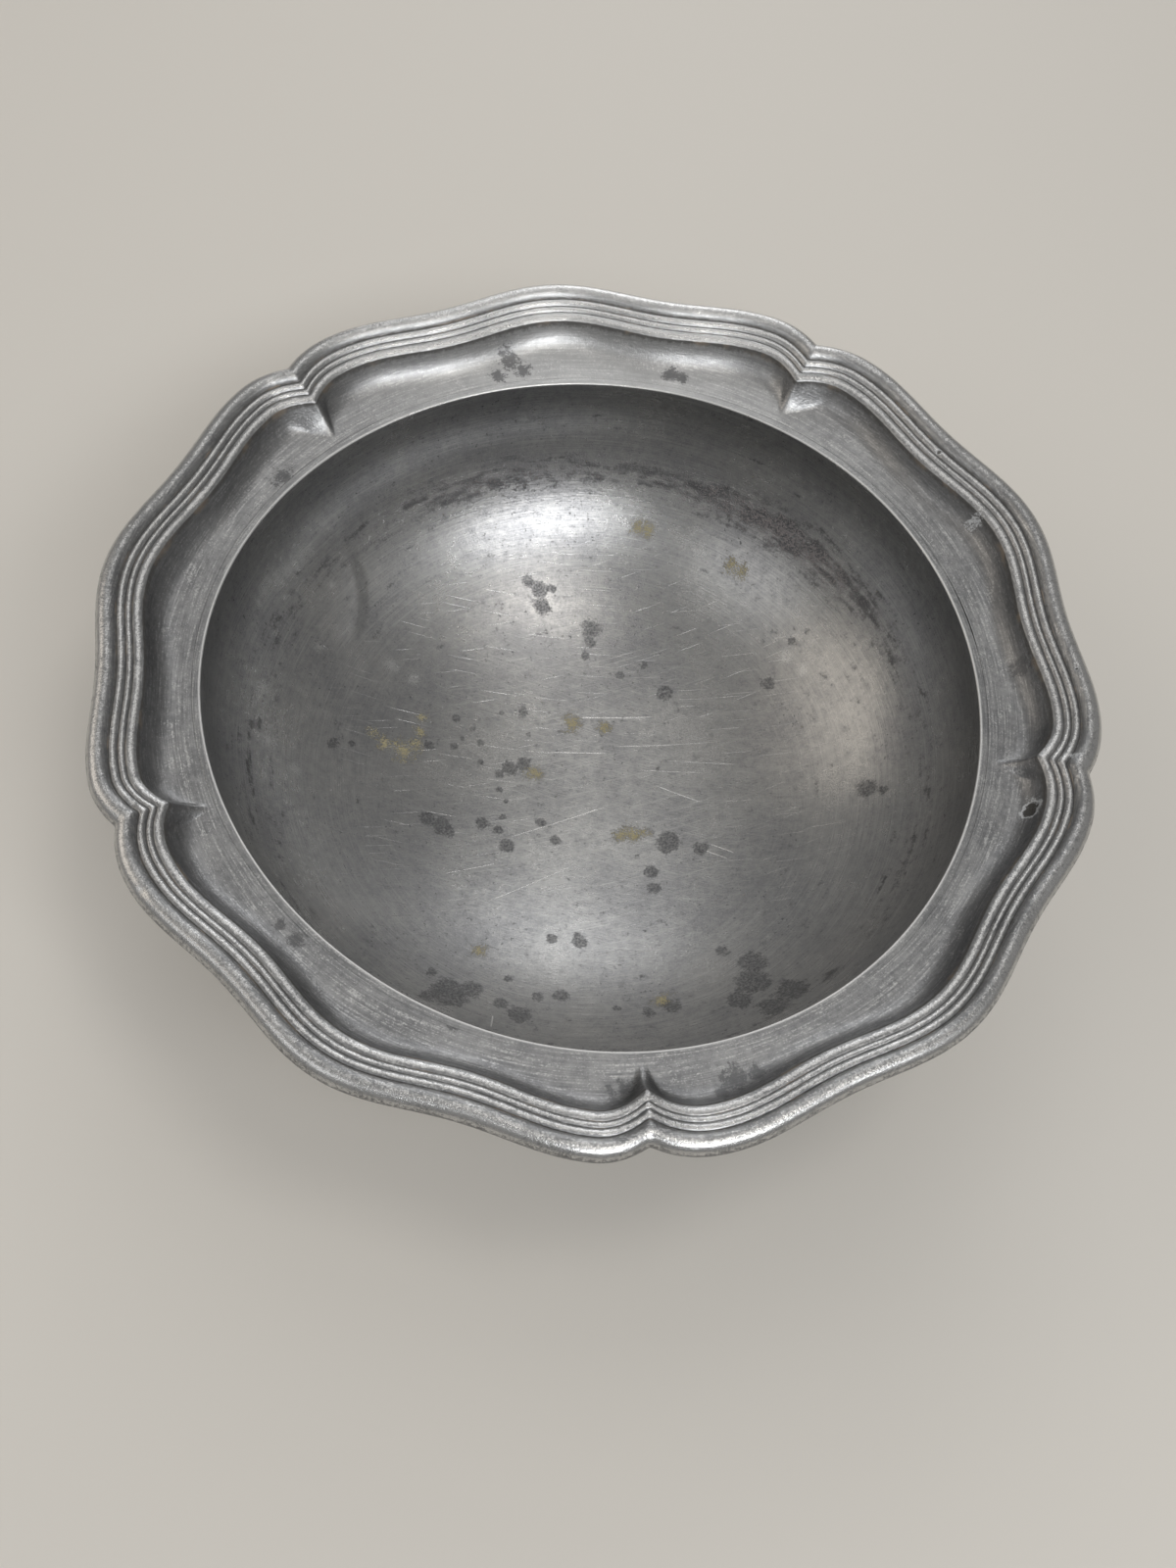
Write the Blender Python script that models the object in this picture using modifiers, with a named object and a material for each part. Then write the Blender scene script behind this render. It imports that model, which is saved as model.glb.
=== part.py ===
"""Pewter compote: a turned bowl in a five-lobed reeded border, on a low hollow foot.

Metres, +Z up. The origin is on the turning axis, at the level the foot stands on,
and a notch of the border faces -Y. Bowl, border and foot are three separate pieces
joined by two rings of soft solder.
"""

import math

import bmesh
import bpy

# Bowl
MOUTH_RADIUS = 0.0965  # inside the lip
BOWL_DEPTH = 0.060  # from the lip down to the bottom
BOWL_WALL = 0.0020
LIP_BAND = 0.0050  # straight wall under the lip, which the border's collar covers
STAND_HEIGHT = 0.020  # from the table up to the underside of the bowl

# Border: a flat ledge that hollows up into a cove, then reeds and an outer bead
LOBES = 5
PANEL_WIDTH = 0.0145  # ledge and cove together, at the crest of a lobe
COVE_RISE = 0.0064  # from the lip up to the inner edge of the reeds
LEDGE_SHARE = 0.25  # how much of that rise is an even slope; the rest curls up
COVE_WIDTH = 0.0055  # where it curls up, measured in from the reeds
COVE_POWER = 2.4
INNER_REED_WIDTH = 0.0026
MIDDLE_REED_WIDTH = 0.0017
OUTER_REED_WIDTH = 0.0022
REED_RISE = 0.0005  # crest of a reed over the grooves beside it
BAND_TILT = 0.0016  # outermost groove over the inner edge of the reeds
BEAD_RADIUS = 0.00275
BEAD_SINK = 0.0010  # centre of the bead under the outermost groove
BEAD_UNDERCUT = math.radians(45)  # where the bead ends in a crisp edge underneath
BORDER_WALL = 0.0018
COLLAR_WALL = 0.0020

# Outline of the border
LOBE_DIP = 0.0038  # between the middle crest of a lobe and its shoulders
NOTCH_DEPTH = 0.0030  # where two lobes meet, at the outer edge
NOTCH_DEEPENING = 0.5  # how much deeper it is at the inner edge of the reeds
SHOULDER_ARC = 0.0130  # along the edge, from a notch to the shoulder beside it
CREASE_REACH = 0.0060  # how far a crease's flanks spread to each side, beside the reeds
CREASE_POWER = 2.0  # how soon the crease dies away towards the ledge
FLANK_POWER = 1.5  # 1 would be flat flanks; more makes them hollow

# Foot
NECK_RADIUS = 0.034
NECK_BAND = 0.0030  # straight stretch under the bowl
FOOT_RADIUS = 0.058
FOOT_RING = 0.0060  # width of the thick edge, flat underneath
FOOT_EDGE = 0.0045  # height of that edge
FOOT_WALL = 0.0022

# Joints
SEAT_GAP = 0.0003  # between pieces that seat on each other
SOLDER_LEG = 0.0018  # each way into the corner that a solder ring fills
SOLDER_HOLLOW = 0.30  # 0.5 would be a straight face

# Facets
ROUND_STEPS = 60
COLUMNS_PER_LOBE = 24
COLUMN_CROWDING = 0.6  # 0 spaces the columns evenly, 1 packs them into the notches
BOWL_ARC_POINTS = 12
FLARE_POINTS = 7
EDGE_POINTS = 5
BEAD_POINTS = 6
PANEL_SHARES = (0.0, 0.3, 0.58, 0.74, 0.86, 0.94)
PANEL_SHARES_UNDERNEATH = (0.9, 0.72, 0.5)
REED_SHARES = (1 / 6, 1 / 2, 5 / 6)
LEAN_STEP = 0.01  # share of a panel's width over which its lean is measured
SHARP_ANGLE = math.radians(40)
MERGE_DISTANCE = 0.00001

# Finish: the rubbed inside, the cast border and the duller hidden foot
BOWL_COLOUR = (0.255, 0.260, 0.275)
BOWL_ROUGHNESS = 0.38
BORDER_COLOUR = (0.300, 0.303, 0.312)
BORDER_ROUGHNESS = 0.42
FOOT_COLOUR = (0.235, 0.238, 0.248)
FOOT_ROUGHNESS = 0.48
SOLDER_COLOUR = (0.360, 0.360, 0.365)
SOLDER_ROUGHNESS = 0.50

# Worked out from the sizes above
LIP_HEIGHT = STAND_HEIGHT + BOWL_WALL + BOWL_DEPTH
LIP_RADIUS = MOUTH_RADIUS + BOWL_WALL
CURVE_DEPTH = BOWL_DEPTH - LIP_BAND
COLLAR_BORE = LIP_RADIUS + SEAT_GAP
BEAD_WIDTH = BEAD_RADIUS + math.sqrt(BEAD_RADIUS**2 - BEAD_SINK**2)
REED_WIDTHS = (INNER_REED_WIDTH, MIDDLE_REED_WIDTH, OUTER_REED_WIDTH)
BAND_WIDTH = sum(REED_WIDTHS) + BEAD_WIDTH
CREST_RADIUS = COLLAR_BORE + PANEL_WIDTH + BAND_WIDTH
HALF_LOBE = math.pi / LOBES
SHOULDER = HALF_LOBE - SHOULDER_ARC / CREST_RADIUS
FLARE_END = FOOT_RADIUS - FOOT_RING


def clear_scene():
    for thing in list(bpy.data.objects):
        bpy.data.objects.remove(thing, do_unlink=True)


def pewter(name, colour, roughness):
    material = bpy.data.materials.new(name)
    material.use_nodes = True
    shader = material.node_tree.nodes["Principled BSDF"]
    shader.inputs["Base Color"].default_value = (*colour, 1.0)
    shader.inputs["Metallic"].default_value = 1.0
    shader.inputs["Roughness"].default_value = roughness
    return material


def ellipse_arc(centre, half_sizes, start, end, points):
    """Points of an ellipse in the (radius, height) half plane, both ends included."""
    arc = []
    for step in range(points):
        turn = start + (end - start) * step / (points - 1)
        radius = centre[0] + half_sizes[0] * math.cos(turn)
        height = centre[1] + half_sizes[1] * math.sin(turn)
        arc.append((radius, height))
    return arc


def bowl_underside(radius):
    """Height of the outside of the bowl over the table, below its straight band."""
    drop = (CURVE_DEPTH + BOWL_WALL) * math.sqrt(1 - (radius / LIP_RADIUS) ** 2)
    return LIP_HEIGHT - LIP_BAND - drop


def place(name, mesh, height, material, collection, parent):
    """An object for one piece, standing on the turning axis at its own height."""
    mesh.materials.append(material)
    piece = bpy.data.objects.new(name, mesh)
    piece.location.z = height
    piece.parent = parent
    collection.objects.link(piece)
    return piece


def turned(name, outline, closed, height, material, collection, parent):
    """A piece turned about Z from an outline of (radius, height) points."""
    mesh = bpy.data.meshes.new(name)
    points = [(radius, 0.0, level) for radius, level in outline]
    edges = [(i, i + 1) for i in range(len(points) - 1)]
    if closed:
        edges.append((len(points) - 1, 0))
    mesh.from_pydata(points, edges, [])
    piece = place(name, mesh, height, material, collection, parent)
    screw = piece.modifiers.new("Turn", "SCREW")
    screw.steps = ROUND_STEPS
    screw.render_steps = ROUND_STEPS
    screw.use_merge_vertices = True
    screw.merge_threshold = MERGE_DISTANCE
    screw.use_smooth_shade = True
    return piece


def bowl_outline():
    """Up the inside from the axis, over the flat lip and down the outside, from the lip."""
    middle = (0.0, -LIP_BAND)
    inside = ellipse_arc(
        middle, (MOUTH_RADIUS, CURVE_DEPTH), -math.pi / 2, 0.0, BOWL_ARC_POINTS
    )
    outside = ellipse_arc(
        middle, (LIP_RADIUS, CURVE_DEPTH + BOWL_WALL), 0.0, -math.pi / 2, BOWL_ARC_POINTS
    )
    return inside + [(MOUTH_RADIUS, 0.0), (LIP_RADIUS, 0.0)] + outside


def foot_outline():
    """Down the outside from the neck, round the thick edge and up the hollow inside."""
    neck_top = bowl_underside(NECK_RADIUS) - SEAT_GAP
    bore = NECK_RADIUS - FOOT_WALL
    bore_top = bowl_underside(bore) - SEAT_GAP
    flare_top = neck_top - NECK_BAND
    flare_width = FLARE_END - NECK_RADIUS
    flare_drop = flare_top - FOOT_EDGE
    middle = (FLARE_END, flare_top)
    outside = ellipse_arc(
        middle, (flare_width, flare_drop), math.pi, 1.5 * math.pi, FLARE_POINTS
    )
    inside = ellipse_arc(
        middle,
        (flare_width + FOOT_WALL, flare_drop + FOOT_WALL),
        1.5 * math.pi,
        math.pi,
        FLARE_POINTS,
    )
    round_edge = FOOT_EDGE / 2
    edge = ellipse_arc(
        (FOOT_RADIUS - round_edge, round_edge),
        (round_edge, round_edge),
        math.pi / 2,
        -math.pi / 2,
        EDGE_POINTS,
    )
    return (
        [(NECK_RADIUS, neck_top)]
        + outside
        + edge
        + [(FLARE_END, 0.0)]
        + inside
        + [(bore, bore_top)]
    )


def border_line(swing, inset):
    """Radius of a line round the border, by the angle from the middle of a lobe."""
    swing = abs(swing)
    if swing < SHOULDER:
        dip = LOBE_DIP * (1 - math.cos(2 * math.pi * swing / SHOULDER)) / 2
    else:
        depth = NOTCH_DEPTH * (1 + NOTCH_DEEPENING * inset / BAND_WIDTH)
        dip = depth * ((swing - SHOULDER) / (HALF_LOBE - SHOULDER)) ** 2
    return CREST_RADIUS - dip - inset


def panel_height(share, curl):
    """Height of a panel over the lip: an even slope, and a share of the way up from it."""
    ledge = COVE_RISE * LEDGE_SHARE * share
    return ledge + (COVE_RISE - ledge) * curl


def cove_curl(share, width):
    """How far a panel has curled up, by the share of its width out from the bowl."""
    closeness = max(0.0, 1 - width * (1 - share) / COVE_WIDTH)
    return closeness**COVE_POWER


def cove_lean(share, width):
    """Angle of the panel's surface to the level, measured over a small step each way."""
    ends = (share - LEAN_STEP, share + LEAN_STEP)
    inner, outer = (panel_height(end, cove_curl(end, width)) for end in ends)
    return math.atan2(outer - inner, 2 * LEAN_STEP * width)


def crease_curl(share, distance):
    """How far the crease at a notch lifts a panel, by the distance to the notch."""
    reach = CREASE_REACH * share
    if distance >= reach:
        return 0.0
    return share**CREASE_POWER * (1 - distance / reach) ** FLANK_POWER


def reed_points(swing):
    """The reeds and the bead, inside to outside, measured in from the outer edge."""
    points = []
    inset = BAND_WIDTH
    for width in REED_WIDTHS:
        for share in (0.0, *REED_SHARES):
            along = inset - width * share
            groove = BAND_TILT * (BAND_WIDTH - along) / sum(REED_WIDTHS)
            crest = REED_RISE * math.sin(math.pi * share)
            points.append((border_line(swing, along), COVE_RISE + groove + crest))
        inset -= width
    groove_turn = math.pi - math.asin(BEAD_SINK / BEAD_RADIUS)
    middle = (-BEAD_RADIUS, COVE_RISE + BAND_TILT - BEAD_SINK)
    bead = ellipse_arc(
        middle, (BEAD_RADIUS, BEAD_RADIUS), groove_turn, -BEAD_UNDERCUT, BEAD_POINTS
    )
    return points + [(border_line(swing, -out), height) for out, height in bead]


def border_section(swing):
    """The border cut along a radius, from the lip: over the top, then back underneath."""
    reed_foot = border_line(swing, BAND_WIDTH)
    width = reed_foot - COLLAR_BORE
    section = []
    for share in PANEL_SHARES:
        radius = COLLAR_BORE + width * share
        to_notch = (HALF_LOBE - abs(swing)) * radius
        curl = max(cove_curl(share, width), crease_curl(share, to_notch))
        section.append((radius, panel_height(share, curl)))
    section += reed_points(swing)
    section.append((reed_foot + BORDER_WALL, COVE_RISE - BORDER_WALL))
    for share in PANEL_SHARES_UNDERNEATH:
        lean = cove_lean(share, width)
        radius = COLLAR_BORE + width * share + BORDER_WALL * math.sin(lean)
        height = panel_height(share, cove_curl(share, width))
        section.append((radius, height - BORDER_WALL * math.cos(lean)))
    section.append((COLLAR_BORE + COLLAR_WALL, -BORDER_WALL))
    section.append((COLLAR_BORE + COLLAR_WALL, -LIP_BAND))
    section.append((COLLAR_BORE, -LIP_BAND))
    return section


def border_mesh():
    """A loft through the border's sections, closer together where two lobes meet."""
    body = bmesh.new()
    rings = []
    for lobe in range(LOBES):
        for column in range(COLUMNS_PER_LOBE):
            even = 2 * column / COLUMNS_PER_LOBE - 1
            crowded = math.sin(math.pi / 2 * even)
            swing = HALF_LOBE * (even + COLUMN_CROWDING * (crowded - even))
            turn = -math.pi / 2 + (2 * lobe + 1) * HALF_LOBE + swing
            ring = []
            for radius, height in border_section(swing):
                spot = (radius * math.cos(turn), radius * math.sin(turn), height)
                ring.append(body.verts.new(spot))
            rings.append(ring)
    for ring, following in zip(rings, rings[1:] + rings[:1]):
        for i in range(len(ring)):
            j = (i + 1) % len(ring)
            body.faces.new((ring[i], ring[j], following[j], following[i]))
    mesh = bpy.data.meshes.new("rim")
    body.to_mesh(mesh)
    body.free()
    mesh.shade_smooth()
    mesh.set_sharp_from_angle(angle=SHARP_ANGLE)
    return mesh


def solder_outline(corner, outer, lower):
    """A ring that fills the corner between two pieces, its open face hollow."""
    hollow = (
        corner[0] + SOLDER_HOLLOW * (outer[0] - corner[0]),
        corner[1] + SOLDER_HOLLOW * (lower[1] - corner[1]),
    )
    return [corner, outer, hollow, lower]


def rim_solder_outline():
    """Under the collar and against the outside of the bowl, from the collar's lower face."""
    return solder_outline(
        (COLLAR_BORE, -SEAT_GAP),
        (COLLAR_BORE + SOLDER_LEG, -SEAT_GAP),
        (COLLAR_BORE, -SEAT_GAP - SOLDER_LEG),
    )


def foot_solder_outline():
    """Round the neck and against the underside of the bowl, from the table."""
    inner = NECK_RADIUS + SEAT_GAP
    outer = inner + SOLDER_LEG
    top = bowl_underside(inner) - SEAT_GAP
    return solder_outline(
        (inner, top),
        (outer, bowl_underside(outer) - SEAT_GAP),
        (inner, top - SOLDER_LEG),
    )


def build():
    clear_scene()
    collection = bpy.data.collections.new("pewter_compote")
    bpy.context.scene.collection.children.link(collection)
    axis = bpy.data.objects.new("turning_axis", None)
    collection.objects.link(axis)
    solder = pewter("solder", SOLDER_COLOUR, SOLDER_ROUGHNESS)

    bowl_finish = pewter("rubbed_pewter", BOWL_COLOUR, BOWL_ROUGHNESS)
    turned("bowl", bowl_outline(), False, LIP_HEIGHT, bowl_finish, collection, axis)

    border_finish = pewter("cast_pewter", BORDER_COLOUR, BORDER_ROUGHNESS)
    place("rim", border_mesh(), LIP_HEIGHT, border_finish, collection, axis)

    collar_bottom = LIP_HEIGHT - LIP_BAND
    outline = rim_solder_outline()
    turned("rim_solder", outline, True, collar_bottom, solder, collection, axis)

    foot_finish = pewter("dull_pewter", FOOT_COLOUR, FOOT_ROUGHNESS)
    turned("foot", foot_outline(), True, 0.0, foot_finish, collection, axis)
    turned("foot_solder", foot_solder_outline(), True, 0.0, solder, collection, axis)


build()
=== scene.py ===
import math
import bpy
import numpy as np
from mathutils import Matrix, Vector


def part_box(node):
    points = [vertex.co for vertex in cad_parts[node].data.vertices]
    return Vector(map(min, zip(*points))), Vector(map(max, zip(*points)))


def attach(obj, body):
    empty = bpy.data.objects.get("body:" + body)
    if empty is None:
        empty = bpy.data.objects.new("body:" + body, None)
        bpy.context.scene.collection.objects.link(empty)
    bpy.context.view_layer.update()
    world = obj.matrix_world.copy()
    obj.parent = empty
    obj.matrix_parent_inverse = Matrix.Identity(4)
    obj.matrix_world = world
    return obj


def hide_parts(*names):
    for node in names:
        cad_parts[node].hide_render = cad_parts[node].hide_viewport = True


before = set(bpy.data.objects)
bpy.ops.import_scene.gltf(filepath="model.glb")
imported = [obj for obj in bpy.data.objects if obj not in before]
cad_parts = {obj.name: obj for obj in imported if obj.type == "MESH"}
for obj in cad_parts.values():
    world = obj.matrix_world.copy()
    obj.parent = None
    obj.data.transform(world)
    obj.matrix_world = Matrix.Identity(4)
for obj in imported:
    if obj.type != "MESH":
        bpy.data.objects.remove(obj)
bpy.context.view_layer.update()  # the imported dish, in metres, standing on z = 0

mm = 0.001
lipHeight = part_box("bowl")[1].z / mm
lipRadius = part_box("bowl")[1].x / mm
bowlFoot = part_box("bowl")[0].z / mm  # underside of the bowl, on the axis
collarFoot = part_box("rim")[0].z / mm  # lower end of the border's collar
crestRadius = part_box("rim")[1].y / mm  # a lobe's crest faces +Y
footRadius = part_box("foot")[1].x / mm
print("frame loaded: lip at %.1f mm, border to %.1f mm" % (lipHeight, crestRadius))


# Shape helpers

def arc(centre, halfSizes, fromDegrees, toDegrees, count):
    # points of an ellipse: centre plus half sizes times cosine and sine of an evenly stepped angle
    turn = np.radians(np.linspace(fromDegrees, toDegrees, count))
    return np.stack([centre[0] + halfSizes[0] * np.cos(turn), centre[1] + halfSizes[1] * np.sin(turn)], 1)


def line(start, end, count):
    # points of a straight run: start plus an evenly stepped share of the way to the end
    share = np.linspace(0, 1, count)[:, None]
    return np.asarray(start) * (1 - share) + np.asarray(end) * share


def joinRuns(*runs):
    # one outline from several runs, each without its first point where it repeats the last one
    pairs = zip(runs, runs[1:])
    later = [run[1:] if np.allclose(run[0], last[-1]) else run for last, run in pairs]
    return np.concatenate([runs[0], *later])


def ripple(angle, seed, lowest, highest):
    # wandering line round the dish: cosines of whole orders with seeded phases, added up to about -1..1
    chance = np.random.default_rng(seed)
    orders = np.arange(lowest, highest + 1)
    phases = chance.uniform(0, 2 * np.pi, len(orders))
    weights = chance.uniform(0.5, 1.0, len(orders))
    waves = np.cos(orders * np.asarray(angle)[..., None] + phases) * weights
    return waves.sum(-1) / np.sqrt((weights**2).sum() / 2) / 2


def angleBetween(angle, other):
    # signed turn from one angle to another, wrapped to half a turn either way
    return (angle - other + np.pi) % (2 * np.pi) - np.pi


def bell(off, spread):
    # bell curve: e to the power of minus the square of the offset, counted in spreads
    return np.exp(-((off / spread) ** 2))


def facingBell(angle, facing, spread):
    # bell curve round the dish, over the turn from the direction that it faces; both are in degrees
    return bell(angleBetween(angle, math.radians(facing)), math.radians(spread))


def coneField(x, y, spots):
    # highest cone over a point, of all the spots: strength times (1 less the distance in radii)
    cones = [strength * (1 - np.hypot(x - atX, y - atY) / size) for atX, atY, size, strength in spots]
    return np.clip(np.maximum.reduce(cones), -1, 1)


def placePiece(name, radius, angle, height, closed, finish, node, fields):
    # grid of points in millimetres: radius and height by row and column, turned to x = r cos a, y = r sin a;
    # an open outline starts and ends on the axis, where a row is gathered into one point
    rows, columns = radius.shape
    points = np.stack([radius * np.cos(angle), radius * np.sin(angle), height], -1) * mm
    index = np.arange(rows * columns).reshape(rows, columns)
    upper = index if closed else index[:-1]
    lower = np.roll(index, -1, 0) if closed else index[1:]
    quads = np.stack([upper, lower, np.roll(lower, -1, 1), np.roll(upper, -1, 1)], -1).reshape(-1, 4)
    faces = quads.tolist()
    flat = points.reshape(-1, 3)
    values = {key: np.broadcast_to(value, radius.shape).reshape(-1) for key, value in fields.items()}
    if not closed:
        poles = np.array([[0, 0, height[0].mean() * mm], [0, 0, height[-1].mean() * mm]])
        first, last = len(flat), len(flat) + 1
        beside = np.roll(index, -1, 1)
        faces += np.stack([np.full(columns, first), index[0], beside[0]], 1).tolist()
        faces += np.stack([index[-1], np.full(columns, last), beside[-1]], 1).tolist()
        flat = np.concatenate([flat, poles])
        ends = {key: [value[:columns].mean(), value[-columns:].mean()] for key, value in values.items()}
        values = {key: np.concatenate([value, ends[key]]) for key, value in values.items()}
    mesh = bpy.data.meshes.new(name)
    mesh.from_pydata(flat.tolist(), [], faces)
    mesh.shade_smooth()
    for key, value in values.items():
        mesh.attributes.new(key, "FLOAT", "POINT").data.foreach_set("value", value.astype(np.float32))
    mesh.materials.append(finish)
    piece = bpy.data.objects.new(name, mesh)
    bpy.context.scene.collection.objects.link(piece)
    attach(piece, "root")
    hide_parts(node)
    print("%s: %d faces" % (name, len(mesh.polygons)))
    return piece


# Shader helpers

def newFinish(name):
    # an empty material and its node tree
    finish = bpy.data.materials.new(name)
    finish.use_nodes = True
    return finish, finish.node_tree


def put(tree, kind, inputs, **options):
    # one node: its options, then its inputs as plain values or as another node's output
    made = tree.nodes.new(kind)
    for key, value in options.items():
        setattr(made, key, value)
    for key, value in inputs.items():
        if isinstance(value, bpy.types.NodeSocket):
            tree.links.new(value, made.inputs[key])
        else:
            made.inputs[key].default_value = value
    return made


def calc(tree, operation, first, second=0.0, third=0.0):
    # one step of arithmetic on numbers
    return put(tree, "ShaderNodeMath", {0: first, 1: second, 2: third}, operation=operation).outputs[0]


def vector(tree, operation, first, second=(0.0, 0.0, 0.0)):
    # one step of arithmetic on vectors
    return put(tree, "ShaderNodeVectorMath", {0: first, 1: second}, operation=operation)


def addUp(tree, *terms):
    # weighted sum of (socket, weight) pairs
    total = calc(tree, "MULTIPLY", terms[0][0], terms[0][1])
    for socket, weight in terms[1:]:
        total = calc(tree, "MULTIPLY_ADD", socket, weight, total)
    return total


def ramp(tree, value, low, high, atLow=0.0, atHigh=1.0):
    # smooth step from one level to another, as the value goes from low to high
    inputs = {0: value, 1: low, 2: high, 3: atLow, 4: atHigh}
    return put(tree, "ShaderNodeMapRange", inputs, interpolation_type="SMOOTHSTEP").outputs[0]


def between(tree, value, rise, fall):
    # a smooth step up times a smooth step down again, further on
    return calc(tree, "MULTIPLY", ramp(tree, value, *rise), ramp(tree, value, *fall))


def tint(tree, share, first, second):
    # one colour turned into another by a share
    return put(tree, "ShaderNodeMix", {0: share, 6: first, 7: second}, data_type="RGBA").outputs[2]


def layOver(tree, colour, over, share, weight):
    # a colour laid over another by a share times a weight
    return tint(tree, calc(tree, "MULTIPLY", share, weight), colour, over)


def mixed(tree, share, first, second):
    # one number turned into another by a share
    return put(tree, "ShaderNodeMix", {0: share, 2: first, 3: second}).outputs[0]


def grain(tree, where, size, detail=2.0, roughness=0.55):
    # cloudy noise with lumps of about the given size, in millimetres
    inputs = {"Vector": where, "Scale": 1 / size, "Detail": detail, "Roughness": roughness}
    return put(tree, "ShaderNodeTexNoise", inputs, noise_dimensions="3D").outputs[0]


def field(tree, name):
    # one of the piece's own fields, worked out at its points
    return put(tree, "ShaderNodeAttribute", {}, attribute_name=name).outputs["Fac"]


def ragged(tree, name, *noises):
    # a field with weighted noise added, which gives its marks ragged edges
    return addUp(tree, (field(tree, name), 1.0), *noises)


def inMillimetres(tree):
    # the piece's own coordinates, in millimetres
    spot = put(tree, "ShaderNodeTexCoord", {}).outputs["Object"]
    return put(tree, "ShaderNodeVectorMath", {0: spot, "Scale": 1 / mm}, operation="SCALE").outputs[0]


def turningLines(tree, where, width, sweep):
    # streaks round the axis: noise over radius and height in steps of a line's width, and over the direction
    # times the sweep, which makes it change slowly on the way round
    height = put(tree, "ShaderNodeSeparateXYZ", {0: where}).outputs[2]
    flat = vector(tree, "MULTIPLY", where, (1.0, 1.0, 0.0)).outputs[0]
    radius = vector(tree, "LENGTH", flat).outputs[1]
    heading = put(tree, "ShaderNodeSeparateXYZ", {0: vector(tree, "NORMALIZE", flat).outputs[0]})
    across = put(tree, "ShaderNodeCombineXYZ", {
        0: calc(tree, "MULTIPLY", radius, 1 / width),
        1: calc(tree, "MULTIPLY", height, 1 / width),
        2: calc(tree, "MULTIPLY", heading.outputs[0], sweep)}).outputs[0]
    drift = calc(tree, "MULTIPLY", heading.outputs[1], sweep)
    inputs = {"Vector": across, "W": drift, "Scale": 1.0, "Detail": 2.0}
    return put(tree, "ShaderNodeTexNoise", inputs, noise_dimensions="4D").outputs[0]


def drawnOut(tree, where, heading, squeeze):
    # coordinates of a drawn-out pattern: turned about Z by the heading, then squeezed along each axis
    inputs = {"Vector": where, "Angle": math.radians(heading)}
    turned = put(tree, "ShaderNodeVectorRotate", inputs, rotation_type="Z_AXIS").outputs[0]
    return vector(tree, "MULTIPLY", turned, squeeze).outputs[0]


def awayFrom(tree, where, middle):
    # distances from a point along each axis: the absolute value of the difference
    off = vector(tree, "SUBTRACT", where, middle).outputs[0]
    return put(tree, "ShaderNodeSeparateXYZ", {0: vector(tree, "ABSOLUTE", off).outputs[0]}).outputs


def brushed(tree, where, heading, length, width):
    # wiping marks: noise drawn out along one heading to streaks of the given length and width
    drawn = drawnOut(tree, where, heading, (1 / length, 1 / width, 1 / length))
    return put(tree, "ShaderNodeTexNoise", {"Vector": drawn, "Scale": 1.0, "Detail": 3.0}).outputs[0]


# shape of a scratch: share of its width that is fully bright, ends of a fine one, taper of a long one
scratchForm = dict(core=0.3, reach=(0.5, 0.1), taper=0.6)


def scratches(tree, where, heading, length, spacing, width, share):
    # straight scratches: a cell pattern drawn out to long cells, with a thin line along the middle of a share
    # of them
    squeezed = drawnOut(tree, where, heading, (1 / length, 1 / spacing, 0.0))
    cells = put(tree, "ShaderNodeTexVoronoi", {"Vector": squeezed, "Scale": 1.0}, voronoi_dimensions="2D")
    away = awayFrom(tree, squeezed, cells.outputs["Position"])
    drawn = put(tree, "ShaderNodeSeparateXYZ", {0: cells.outputs["Color"]}).outputs[0]
    thin = ramp(tree, away[1], width / spacing, scratchForm["core"] * width / spacing)
    reach = ramp(tree, away[0], *scratchForm["reach"])
    chosen = ramp(tree, drawn, share, scratchForm["core"] * share)
    return calc(tree, "MULTIPLY", calc(tree, "MULTIPLY", thin, reach), chosen)


def scoreLine(tree, where, start, end, width):
    # one straight scratch in plan: 1 on the line from start to end, 0 beyond its half width and past its ends
    middle = [(a + b) / 2 for a, b in zip(start, end)]
    run = [b - a for a, b in zip(start, end)]
    inputs = {"Vector": where, "Center": (*middle, 0.0), "Angle": -math.atan2(run[1], run[0])}
    turned = put(tree, "ShaderNodeVectorRotate", inputs, rotation_type="Z_AXIS").outputs[0]
    away = awayFrom(tree, turned, (*middle, 0.0))
    half = math.hypot(*run) / 2
    thin = ramp(tree, away[1], width, scratchForm["core"] * width)
    return calc(tree, "MULTIPLY", thin, ramp(tree, away[0], half, scratchForm["taper"] * half))


def pewterShader(tree, settings, colour, roughness, metal, relief):
    # relief is a height in millimetres, which the bump turns into slopes
    shader = tree.nodes["Principled BSDF"]
    quarterTurn = 0.25  # highlights stretch across the turning lines
    bump = put(tree, "ShaderNodeBump", {"Strength": 1.0, "Distance": mm, "Height": relief})
    tree.links.new(colour, shader.inputs["Base Color"])
    tree.links.new(roughness, shader.inputs["Roughness"])
    tree.links.new(metal, shader.inputs["Metallic"])
    tree.links.new(bump.outputs[0], shader.inputs["Normal"])
    shader.inputs["Anisotropic"].default_value = settings["anisotropy"]
    shader.inputs["Anisotropic Rotation"].default_value = quarterTurn
    if settings["anisotropy"]:
        around = put(tree, "ShaderNodeTangent", {}, direction_type="RADIAL", axis="Z")
        tree.links.new(around.outputs[0], shader.inputs["Tangent"])


# Bowl

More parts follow.
